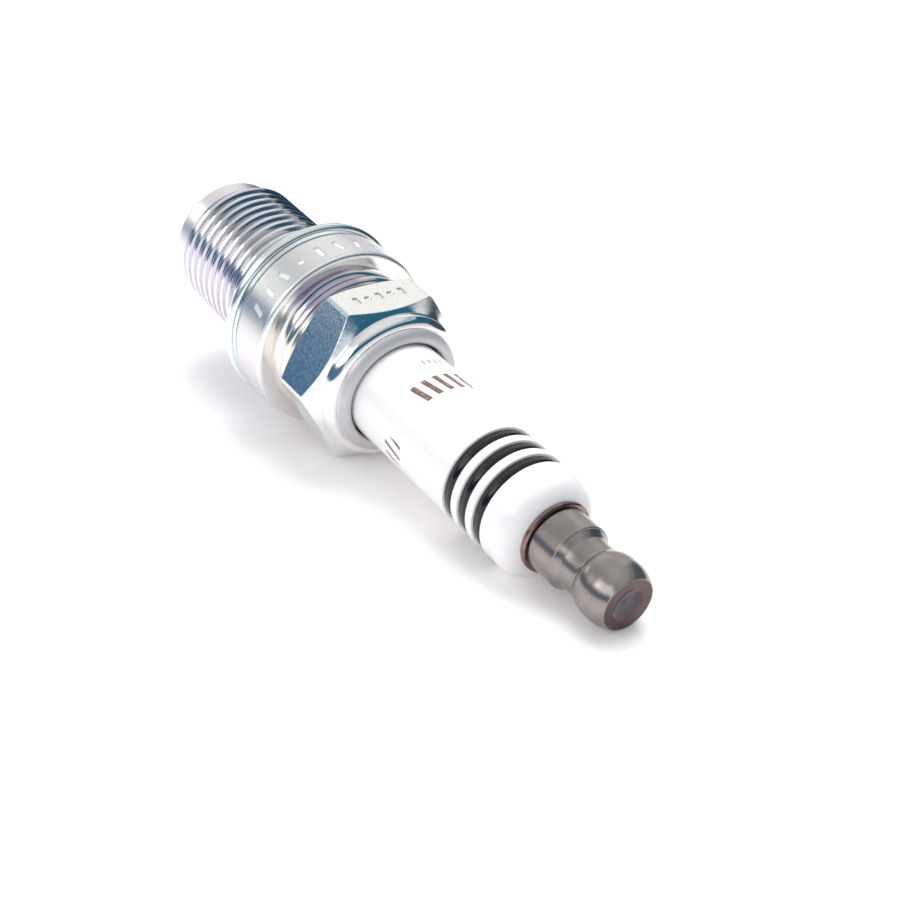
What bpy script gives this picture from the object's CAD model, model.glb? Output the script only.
import math

import bpy
from mathutils import Matrix, Vector

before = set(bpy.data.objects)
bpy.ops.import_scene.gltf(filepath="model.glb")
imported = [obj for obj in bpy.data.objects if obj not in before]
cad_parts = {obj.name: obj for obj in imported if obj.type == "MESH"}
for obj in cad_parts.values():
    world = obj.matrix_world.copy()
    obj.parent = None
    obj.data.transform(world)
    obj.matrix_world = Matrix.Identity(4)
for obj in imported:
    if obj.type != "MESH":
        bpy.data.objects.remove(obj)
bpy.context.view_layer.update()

MM = 0.001

# --- how the plug lies on the floor ---
UP_ANGLE = math.radians(-30)      # a flat of the hexagon faces up, seen along the axis
TILT = math.radians(8.3)          # the terminal end dips until the bulb touches the floor
COLLAR_R = 9.5 * MM
COLLAR_EDGE_Z = 4.7 * MM
DEGREE = math.pi / 180

# --- places on the plug that the materials refer to ---
THREAD_Z = (-16.8 * MM, -2.4 * MM)
GROOVE_R = 6.93 * MM              # the thread's surface inside this radius is groove
COLLAR_FACE_Z = (0.3 * MM, 4.5 * MM)
MARK_R = (9.0 * MM, 9.47 * MM)    # radii that only the floors of the collar's marks have
NECK_Z = (4.75 * MM, 7.9 * MM)
HEXAGON_Z = (8.1 * MM, 13.2 * MM)
BAND_LOW_Z = 30.42 * MM
BAND_PITCH = 2.25 * MM
BAND_MIDDLE = 0.26                # middle of a band, as a share of the pitch

across = Vector((math.cos(UP_ANGLE), math.sin(UP_ANGLE), 0))
axis = Vector((0, 0, 1))
floor_up = across * math.cos(TILT) - axis * math.sin(TILT)
floor_along = across * math.sin(TILT) + axis * math.cos(TILT)
floor_side = floor_up.cross(floor_along)
floor_point = across * -COLLAR_R + axis * COLLAR_EDGE_Z


# --- short forms for node trees ---
def add(tree, kind, inputs=None, **settings):
    """A new node with its settings made and its inputs set to values or linked to sockets."""
    made = tree.nodes.new(kind)
    for name, value in settings.items():
        setattr(made, name, value)
    for name, value in (inputs or {}).items():
        if isinstance(value, bpy.types.NodeSocket):
            tree.links.new(value, made.inputs[name])
        else:
            made.inputs[name].default_value = value
    return made


def calc(tree, operation, a, b=0.0, c=0.0, clamp=False):
    """One arithmetic step on numbers or sockets."""
    return add(tree, "ShaderNodeMath", {0: a, 1: b, 2: c}, operation=operation, use_clamp=clamp).outputs[0]


def mix(tree, factor, a, b):
    """Colour a where factor is 0 and colour b where it is 1."""
    made = add(tree, "ShaderNodeMix", {0: factor, 6: a, 7: b}, data_type="RGBA")
    return made.outputs[2]


def ramp(tree, factor, stops):
    """Colour ramp from (position, colour) pairs; a plain number makes a grey stop."""
    made = add(tree, "ShaderNodeValToRGB", {"Fac": factor})
    elements = made.color_ramp.elements
    elements.remove(elements[1])
    for i, (place, value) in enumerate(stops):
        stop = elements[0] if i == 0 else elements.new(place)
        stop.position = place
        colour = (value, value, value) if isinstance(value, (int, float)) else value
        stop.color = (*colour, 1)
    return made.outputs["Color"]


def noise(tree, place, scale, detail=2.0, roughness=0.5):
    """Noise value around 0.5, with the scale in cells per metre."""
    inputs = {"Vector": place, "Scale": scale, "Detail": detail, "Roughness": roughness}
    return add(tree, "ShaderNodeTexNoise", inputs).outputs["Fac"]


def bump(tree, height, distance, strength=1.0, after=None):
    """Bump normal from a height socket; distance is in metres."""
    inputs = {"Height": height, "Distance": distance, "Strength": strength}
    if after is not None:
        inputs["Normal"] = after
    return add(tree, "ShaderNodeBump", inputs).outputs["Normal"]


def span(tree, value, low, high, soft):
    """1 between low and high, with soft edges."""
    rise = calc(tree, "DIVIDE", calc(tree, "SUBTRACT", value, low), soft, clamp=True)
    fall = calc(tree, "DIVIDE", calc(tree, "SUBTRACT", high, value), soft, clamp=True)
    return calc(tree, "MULTIPLY", rise, fall)


def share_along(tree, vector, way):
    """How much of a vector socket points along a fixed direction."""
    inputs = {0: vector, 1: tuple(way)}
    return add(tree, "ShaderNodeVectorMath", inputs, operation="DOT_PRODUCT").outputs["Value"]


class Surface:
    """A new material with the plug's own coordinates ready to use."""

    def __init__(self, name):
        self.material = bpy.data.materials.new(name)
        self.material.use_nodes = True
        self.tree = self.material.node_tree
        self.shader = self.tree.nodes["Principled BSDF"]
        self.place = add(self.tree, "ShaderNodeTexCoord").outputs["Object"]
        parts = add(self.tree, "ShaderNodeSeparateXYZ", {"Vector": self.place}).outputs
        self.z = parts["Z"]
        self.angle = calc(self.tree, "ARCTAN2", parts["Y"], parts["X"])
        self.radius = calc(self.tree, "SQRT", calc(
            self.tree, "ADD", calc(self.tree, "MULTIPLY", parts["X"], parts["X"]),
            calc(self.tree, "MULTIPLY", parts["Y"], parts["Y"])))
        self.facing = add(self.tree, "ShaderNodeLayerWeight", {"Blend": 0.4}).outputs["Facing"]

    def set(self, **inputs):
        """Sets or links inputs of the main shader, with underscores for spaces."""
        for name, value in inputs.items():
            socket = self.shader.inputs[name.replace("_", " ")]
            if isinstance(value, bpy.types.NodeSocket):
                self.tree.links.new(value, socket)
            else:
                socket.default_value = value
        return self.material

    def along(self, stops, low=-20, high=16):
        """Ramp along the axis, with the stops' places given in millimetres."""
        share = calc(self.tree, "DIVIDE", calc(self.tree, "SUBTRACT", self.z, low * MM), (high - low) * MM)
        places = [((z - low) / (high - low), value) for z, value in stops]
        return ramp(self.tree, share, places)


# --- materials ---
def zinc_plating():
    """Bright zinc plating: satin collar, mottled hexagon, lighter marks, and tints by place and angle."""
    s = Surface("zinc_plating")
    t = s.tree

    def times(a, b):
        made = add(t, "ShaderNodeMix", {0: 1.0, 6: a, 7: b}, data_type="RGBA", blend_type="MULTIPLY")
        return made.outputs[2]

    tint = s.along([
        (-19, (0.82, 0.81, 0.84)), (-17, (0.80, 0.78, 0.86)), (-3, (0.81, 0.78, 0.88)),
        (-2, (0.84, 0.84, 0.86)), (0, (0.74, 0.75, 0.77)), (4.4, (0.74, 0.75, 0.77)),
        (4.8, (0.84, 0.83, 0.84)),
        (7.8, (0.90, 0.87, 0.83)), (8.3, (0.88, 0.89, 0.88)), (12.5, (0.87, 0.89, 0.90)),
        (14.6, (0.88, 0.88, 0.90)), (15, (0.58, 0.57, 0.59)), (15.6, (0.62, 0.60, 0.62))])
    drift = calc(t, "ADD", s.facing, calc(t, "MULTIPLY", noise(t, s.place, 180, 3), 0.5))
    film = ramp(t, drift, [
        (0.25, (0.97, 1.0, 1.0)), (0.5, (1.0, 0.99, 0.97)), (0.75, (1.0, 0.97, 0.94)),
        (0.95, (1.0, 0.95, 1.0)), (1.0, (0.94, 1.0, 1.0))])
    turned = calc(t, "ADD", s.angle, calc(t, "MULTIPLY", noise(t, s.place, 120, 2), 0.5))
    purple_side = span(t, turned, -22 * DEGREE, 40 * DEGREE, 14 * DEGREE)
    neck = mix(t, purple_side, (1.0, 0.95, 0.87, 1), (0.56, 0.52, 0.66, 1))
    under_side = span(t, s.angle, 15 * DEGREE, 200 * DEGREE, 25 * DEGREE)
    thread = mix(t, under_side, (0.97, 1.0, 0.94, 1), (1, 1, 1, 1))
    on_neck = span(t, s.z, *NECK_Z, 0.4 * MM)
    on_thread = span(t, s.z, *THREAD_Z, 0.2 * MM)
    in_groove = calc(t, "MULTIPLY", on_thread, span(t, s.radius, 0.0, GROOVE_R, 0.05 * MM))
    on_hexagon = span(t, s.z, *HEXAGON_Z, 0.3 * MM)
    on_collar = span(t, s.z, *COLLAR_FACE_Z, 0.1 * MM)
    in_mark = calc(t, "MULTIPLY", on_collar, span(t, s.radius, *MARK_R, 0.04 * MM))
    blue_side = span(t, s.angle, 0, 60 * DEGREE, 1 * DEGREE)
    speckle = noise(t, s.place, 3600, 3, 0.75)
    blasted = calc(t, "MULTIPLY", on_hexagon, ramp(t, speckle, [(0.46, 0.0), (0.55, 1.0)]))
    colour = times(times(tint, film), mix(t, on_neck, (1, 1, 1, 1), neck))
    colour = times(colour, mix(t, on_thread, (1, 1, 1, 1), thread))
    colour = times(colour, mix(t, in_groove, (1, 1, 1, 1), (0.76, 0.74, 0.76, 1)))
    mottling = mix(t, blue_side, (0.95, 0.95, 0.94, 1), (0.58, 0.80, 0.94, 1))
    colour = times(colour, mix(t, blasted, (1, 1, 1, 1), mottling))
    colour = mix(t, in_mark, colour, (0.93, 0.94, 0.95, 1))
    rough = s.along([(-19, 0.36), (-17, 0.34), (-16.5, 0.12), (-2.6, 0.12), (-2.2, 0.22), (0.0, 0.26),
                     (4.4, 0.26), (4.9, 0.14), (7.7, 0.12), (8.1, 0.11), (12.9, 0.11), (13.3, 0.06),
                     (14.6, 0.06), (14.9, 0.45)])
    bare = s.along([(-19, 0.9), (-17, 0.95), (-16.5, 1.0), (-2, 1.0), (0, 0.85), (4.4, 0.85), (4.9, 1.0),
                    (14.6, 1.0), (14.9, 0.5)])
    satin = calc(t, "MULTIPLY", span(t, s.z, 0.2 * MM, 4.5 * MM, 0.2 * MM), noise(t, s.place, 9000, 2))
    grain = calc(t, "ADD", calc(t, "MULTIPLY", on_hexagon, speckle), calc(t, "MULTIPLY", satin, 0.4))
    waves = noise(t, s.place, 420, 2)
    edges = add(t, "ShaderNodeBevel", {"Radius": 0.12 * MM}, samples=4).outputs[0]
    normal = bump(t, grain, 0.02 * MM, 0.5, bump(t, waves, 0.05 * MM, 0.2, edges))
    bare = calc(t, "MULTIPLY", bare, calc(t, "MULTIPLY_ADD", in_mark, -0.6, 1.0))
    return s.set(Base_Color=colour, Metallic=bare, Roughness=rough, Normal=normal)


def gasket_steel():
    """Plated sheet steel with rolling lines round the ring."""
    s = Surface("gasket_steel")
    t = s.tree
    lines = noise(t, s.radius, 26000, 1)
    tint = mix(t, s.facing, (0.80, 0.84, 0.84, 1), (0.78, 0.92, 0.90, 1))
    rough = calc(t, "ADD", calc(t, "MULTIPLY", noise(t, s.place, 1500, 3), 0.15), 0.14)
    return s.set(Base_Color=tint, Metallic=1.0, Roughness=rough, Normal=bump(t, lines, 0.01 * MM, 0.3))


def print_marks(s):
    """Mask of plain bars and ticks printed round the insulator."""
    t = s.tree

    def row(low_z, high_z, from_angle, to_angle, step, share, lean):
        turned = calc(t, "MULTIPLY_ADD", s.z, lean / MM * DEGREE, s.angle)
        phase = calc(t, "FRACT", calc(t, "DIVIDE", calc(t, "ADD", turned, 4 * math.pi), step * DEGREE))
        bars = span(t, phase, 0.5 - share / 2, 0.5 + share / 2, 0.03)
        inside = calc(t, "MULTIPLY", span(t, s.z, low_z * MM, high_z * MM, 0.05 * MM),
                      span(t, s.angle, from_angle * DEGREE, to_angle * DEGREE, 0.5 * DEGREE))
        return calc(t, "MULTIPLY", bars, inside)

    rows = [row(20.7, 23.3, -78, 4, 13.5, 0.5, 2.0), row(20.9, 23.4, 55, 84, 13.5, 0.34, -3.0),
            row(18.0, 18.8, -62, -24, 7.0, 0.28, 0.0)]
    total = calc(t, "MAXIMUM", rows[0], calc(t, "MAXIMUM", rows[1], rows[2]))
    return calc(t, "MULTIPLY", total, ramp(t, noise(t, s.place, 2500, 3), [(0.25, 0.75), (0.5, 1.0)]))


def glazed_ceramic():
    """White glazed alumina with a printed row of plain bars; the firing nose is unglazed."""
    s = Surface("glazed_ceramic")
    t = s.tree
    body = mix(t, noise(t, s.place, 300, 3), (0.95, 0.935, 0.935, 1), (0.97, 0.955, 0.95, 1))
    nose = mix(t, noise(t, s.place, 4000, 4), (0.80, 0.77, 0.72, 1), (0.88, 0.86, 0.82, 1))
    bare = span(t, s.z, -30 * MM, -1 * MM, 0.5 * MM)
    colour = mix(t, bare, mix(t, print_marks(s), body, (0.20, 0.11, 0.10, 1)), nose)
    rough = mix(t, bare, (0.07, 0.07, 0.07, 1), (0.55, 0.55, 0.55, 1))
    ripple = noise(t, s.place, 350, 2)
    normal = bump(t, ripple, 0.02 * MM, 0.3)
    return s.set(Base_Color=colour, Roughness=rough, Normal=normal, IOR=1.5,
                 Subsurface_Weight=0.12, Subsurface_Scale=0.6 * MM, Coat_Weight=0.06,
                 Coat_Roughness=0.03)


def black_glaze():
    """Glossy black fired band, shaded a little rounder than its shape."""
    s = Surface("black_glaze")
    t = s.tree
    colour = mix(t, noise(t, s.place, 1200, 3), (0.006, 0.005, 0.006, 1), (0.013, 0.010, 0.012, 1))
    rough = calc(t, "ADD", calc(t, "MULTIPLY", noise(t, s.place, 2600, 2), 0.10), 0.05)
    turn = calc(t, "FRACT", calc(t, "DIVIDE", calc(t, "SUBTRACT", s.z, BAND_LOW_Z), BAND_PITCH))
    off = calc(t, "SUBTRACT", turn, BAND_MIDDLE)
    crown = calc(t, "MULTIPLY_ADD", calc(t, "MULTIPLY", off, off), -14.0, 1.0)
    normal = bump(t, noise(t, s.place, 900, 2), 0.05 * MM, 0.5, bump(t, crown, 0.26 * MM))
    return s.set(Base_Color=colour, Roughness=rough, IOR=1.45, Normal=normal)


def terminal_nickel():
    """Dull warm grey nickel with turning lines, a browner end face and a bluish dish."""
    s = Surface("terminal_nickel")
    t = s.tree
    cloud = noise(t, s.place, 700, 4)
    side = mix(t, cloud, (0.22, 0.195, 0.188, 1), (0.37, 0.335, 0.322, 1))
    face = mix(t, noise(t, s.place, 500, 3), (0.080, 0.050, 0.048, 1), (0.15, 0.10, 0.096, 1))
    dish = mix(t, noise(t, s.place, 900, 3), (0.045, 0.042, 0.050, 1), (0.12, 0.115, 0.13, 1))
    in_dish = span(t, s.radius, -1 * MM, 1.45 * MM, 0.35 * MM)
    inside_rim = span(t, s.radius, -1 * MM, 2.56 * MM, 0.05 * MM)
    at_end = calc(t, "MULTIPLY", span(t, s.z, 49.9 * MM, 60 * MM, 0.06 * MM), inside_rim)
    lines = noise(t, add(t, "ShaderNodeCombineXYZ", {"Z": s.z}).outputs[0], 14000, 2)
    rough = calc(t, "ADD", calc(t, "MULTIPLY", cloud, 0.12), 0.15)
    colour = mix(t, at_end, side, mix(t, in_dish, face, dish))
    return s.set(Base_Color=colour, Metallic=0.85, Roughness=rough, Normal=bump(t, lines, 0.006 * MM, 0.4))


def plain_metal(name, dark, light, rough, lines=6000):
    """Metal with cloudy colour and fine lines, for the smaller pieces."""
    s = Surface(name)
    t = s.tree
    cloud = noise(t, s.place, 1400, 4)
    colour = mix(t, cloud, (*dark, 1), (*light, 1))
    roughness = calc(t, "ADD", calc(t, "MULTIPLY", cloud, 0.14), rough - 0.07)
    normal = bump(t, noise(t, s.place, lines, 3), 0.01 * MM, 0.4)
    return s.set(Base_Color=colour, Metallic=1.0, Roughness=roughness, Normal=normal)


def powder(name, dark, light, rough):
    """Grainy mineral or fused glass for the sealed pieces."""
    s = Surface(name)
    t = s.tree
    grain = noise(t, s.place, 5000, 5, 0.7)
    return s.set(Base_Color=mix(t, grain, (*dark, 1), (*light, 1)), Roughness=rough,
                 Normal=bump(t, grain, 0.03 * MM, 0.6))


def paint_nodes():
    """Gives each CAD piece its material."""
    steel = plain_metal("packing_steel", (0.42, 0.42, 0.43), (0.56, 0.56, 0.56), 0.35)
    nickel = plain_metal("electrode_nickel", (0.46, 0.43, 0.38), (0.62, 0.59, 0.54), 0.34)
    seal = powder("seal_glass", (0.20, 0.13, 0.10), (0.36, 0.26, 0.20), 0.35)
    band = black_glaze()
    finishes = {
        "metal_shell": zinc_plating(),
        "gasket": gasket_steel(),
        "insulator": glazed_ceramic(),
        "glaze_band_1": band,
        "glaze_band_2": band,
        "glaze_band_3": band,
        "seat_packing": steel,
        "lower_packing_ring": steel,
        "upper_packing_ring": steel,
        "talc_fill": powder("talc", (0.76, 0.75, 0.70), (0.90, 0.89, 0.85), 0.85),
        "centre_electrode": nickel,
        "ground_electrode": nickel,
        "copper_core": plain_metal("copper", (0.60, 0.30, 0.18), (0.78, 0.45, 0.30), 0.3),
        "iridium_tip": plain_metal("iridium", (0.66, 0.66, 0.68), (0.80, 0.80, 0.80), 0.18),
        "tip_weld": plain_metal("weld_bead", (0.40, 0.38, 0.40), (0.62, 0.58, 0.52), 0.3, 3000),
        "lower_glass_seal": seal,
        "upper_glass_seal": seal,
        "resistor": powder("resistor_body", (0.06, 0.06, 0.06), (0.16, 0.15, 0.15), 0.6),
        "terminal_stud": plain_metal("stud_steel", (0.50, 0.49, 0.47), (0.68, 0.67, 0.64), 0.28),
        "terminal_washer": plain_metal("tinted_washer", (0.16, 0.09, 0.09), (0.42, 0.26, 0.23), 0.25),
        "terminal_nut": terminal_nickel(),
    }
    for name, material in finishes.items():
        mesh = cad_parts[name].data
        mesh.materials.clear()
        mesh.materials.append(material)


# --- stage ---
def make_floor():
    """Pale floor that only shows from its upper side, so the plug can be seen from all round."""
    half = 0.30
    corners = []
    for i in range(64):
        turn = 2 * math.pi * i / 64
        corners.append(floor_point + floor_along * half * math.cos(turn) + floor_side * half * math.sin(turn))
    mesh = bpy.data.meshes.new("floor")
    mesh.from_pydata([tuple(c) for c in corners], [], [range(64)])
    floor = bpy.data.objects.new("floor", mesh)
    bpy.context.scene.collection.objects.link(floor)
    if mesh.polygons[0].normal.dot(floor_up) < 0:
        mesh.flip_normals()
    material = bpy.data.materials.new("floor_white")
    material.use_nodes = True
    tree = material.node_tree
    shader = tree.nodes["Principled BSDF"]
    shader.inputs["Base Color"].default_value = (0.93, 0.91, 0.925, 1)
    shader.inputs["Roughness"].default_value = 0.35
    shader.inputs["Specular IOR Level"].default_value = 0.25
    shader.inputs["Emission Color"].default_value = (1.0, 0.93, 0.915, 1)
    shader.inputs["Emission Strength"].default_value = 0.13
    behind = add(tree, "ShaderNodeNewGeometry").outputs["Backfacing"]
    clear = add(tree, "ShaderNodeBsdfTransparent").outputs[0]
    both = add(tree, "ShaderNodeMixShader", {0: behind, 1: shader.outputs[0], 2: clear})
    tree.links.new(both.outputs[0], tree.nodes["Material Output"].inputs["Surface"])
    mesh.materials.append(material)


def make_world():
    """White backdrop for the camera; reflections see a pale room with a window and darker areas."""
    world = bpy.data.worlds.new("studio")
    bpy.context.scene.world = world
    world.use_nodes = True
    tree = world.node_tree
    toward = add(tree, "ShaderNodeTexCoord").outputs["Generated"]
    up, along, side = [share_along(tree, toward, way) for way in (floor_up, floor_along, floor_side)]
    height = calc(tree, "DEGREES", calc(tree, "ARCSINE", up))
    turn = calc(tree, "DEGREES", calc(tree, "ARCTAN2", side, along))
    room = ramp(tree, calc(tree, "MULTIPLY_ADD", height, 1 / 180, 0.5), [
        (0.0, (0.62, 0.60, 0.62)), (0.48, (0.80, 0.77, 0.78)), (0.52, (0.72, 0.72, 0.73)),
        (0.60, (0.80, 0.79, 0.77)), (0.72, (0.86, 0.84, 0.80)), (0.80, 0.78), (0.88, 0.80), (1.0, 0.9)])

    def patch(under, from_turn, to_turn, low, high, soft, colour):
        """Lays a soft-edged rectangle, in degrees of turn and height, over the room."""
        wide = span(tree, turn, from_turn, to_turn, soft)
        tall = span(tree, height, low, high, soft)
        return mix(tree, calc(tree, "MULTIPLY", wide, tall), under, (*colour, 1))

    room = patch(room, -176, -118, 30, 60, 10.0, (0.60, 0.63, 0.67))
    room = patch(room, -172, -42, -3, 19, 4.0, (0.085, 0.18, 0.31))
    room = patch(room, -60, 118, 34, 56, 12.0, (0.34, 0.39, 0.44))
    room = patch(room, -48, 116, 12, 40, 3.0, (0.022, 0.125, 0.21))
    room = patch(room, 60, 122, -6, 20, 5.0, (0.05, 0.08, 0.11))
    room = patch(room, -121, -47, 19, 48, 3.0, (2.1, 2.1, 2.05))
    room = patch(room, 108, 179, 22, 54, 10.0, (1.04, 1.05, 1.04))
    seen = add(tree, "ShaderNodeLightPath").outputs["Is Camera Ray"]
    background = tree.nodes["Background"]
    tree.links.new(mix(tree, seen, room, (1.05, 1.05, 1.05, 1)), background.inputs["Color"])


def make_light(name, toward, distance, width, height, power, aim_z=10, mirrored=True):
    """Softbox aimed at a point on the axis, in a direction given as (up, along, side)."""
    data = bpy.data.lights.new(name, "AREA")
    data.shape = "RECTANGLE"
    data.size = width
    data.size_y = height
    data.energy = power
    light = bpy.data.objects.new(name, data)
    way = floor_up * toward[0] + floor_along * toward[1] + floor_side * toward[2]
    way.normalize()
    centre = axis * aim_z * MM
    light.location = centre + way * distance
    light.rotation_mode = "QUATERNION"
    level = (floor_along - way * way.dot(floor_along)).normalized()
    light.rotation_quaternion = Matrix((level, way.cross(level), way)).transposed().to_quaternion()
    light.visible_camera = False
    light.visible_glossy = mirrored
    bpy.context.scene.collection.objects.link(light)


def make_cards():
    """Two dark cards beside the thread: only in reflections, and only for rays along each card's way."""
    for name, along, half, way in (("card_below", -41, 19, -1), ("card_above", 0, 8, 1)):
        material = bpy.data.materials.new(name)
        material.use_nodes = True
        tree = material.node_tree
        dark = add(tree, "ShaderNodeEmission", {"Color": (0.030, 0.055, 0.075, 1)}).outputs[0]
        clear = add(tree, "ShaderNodeBsdfTransparent").outputs[0]
        toward = add(tree, "ShaderNodeNewGeometry").outputs["Incoming"]
        open_slats = calc(tree, "GREATER_THAN", share_along(tree, toward, floor_along * way), 0.0)
        both = add(tree, "ShaderNodeMixShader", {0: open_slats, 1: dark, 2: clear})
        tree.links.new(both.outputs[0], tree.nodes["Material Output"].inputs["Surface"])
        centre = (floor_up * 5.5 + floor_along * along + floor_side * 23) * MM
        wide, tall = floor_along * half * MM, floor_up * 15.5 * MM
        corners = [centre - wide - tall, centre + wide - tall, centre + wide + tall, centre - wide + tall]
        mesh = bpy.data.meshes.new(name)
        mesh.from_pydata([tuple(c) for c in corners], [], [range(4)])
        mesh.materials.append(material)
        card = bpy.data.objects.new(name, mesh)
        bpy.context.scene.collection.objects.link(card)
        card.visible_camera = False
        card.visible_diffuse = False
        card.visible_shadow = False


def make_camera():
    """Camera above and beyond the terminal end, looking back along the plug."""
    place = Vector((123.2, 27.8, 132.9)) * MM
    look = Vector((-0.7420, -0.1631, -0.6504)).normalized()
    roll = math.radians(-1.8)
    level = look.cross(floor_up).normalized()
    right = Matrix.Rotation(roll, 3, look) @ level
    top = right.cross(look)
    data = bpy.data.cameras.new("camera")
    data.lens = 72.44
    data.sensor_width = 36
    data.clip_start = 0.01
    camera = bpy.data.objects.new("camera", data)
    turn = Matrix((right, top, -look)).transposed()
    camera.matrix_world = Matrix.Translation(place) @ turn.to_4x4()
    bpy.context.scene.collection.objects.link(camera)
    bpy.context.scene.camera = camera


paint_nodes()
make_floor()
make_world()
make_light("top_softbox", (0.90, -0.25, 0.35), 0.60, 0.50, 0.50, 3.3, mirrored=False)
make_light("bulb_window", (0.515, -0.207, -0.832), 0.12, 0.026, 0.022, 0.0035, aim_z=48)
make_light("thread_window", (0.485, -0.715, -0.505), 0.08, 0.0125, 0.031, 0.0029, aim_z=-5.5)
make_cards()
make_camera()
bpy.context.scene.view_settings.view_transform = "Standard"
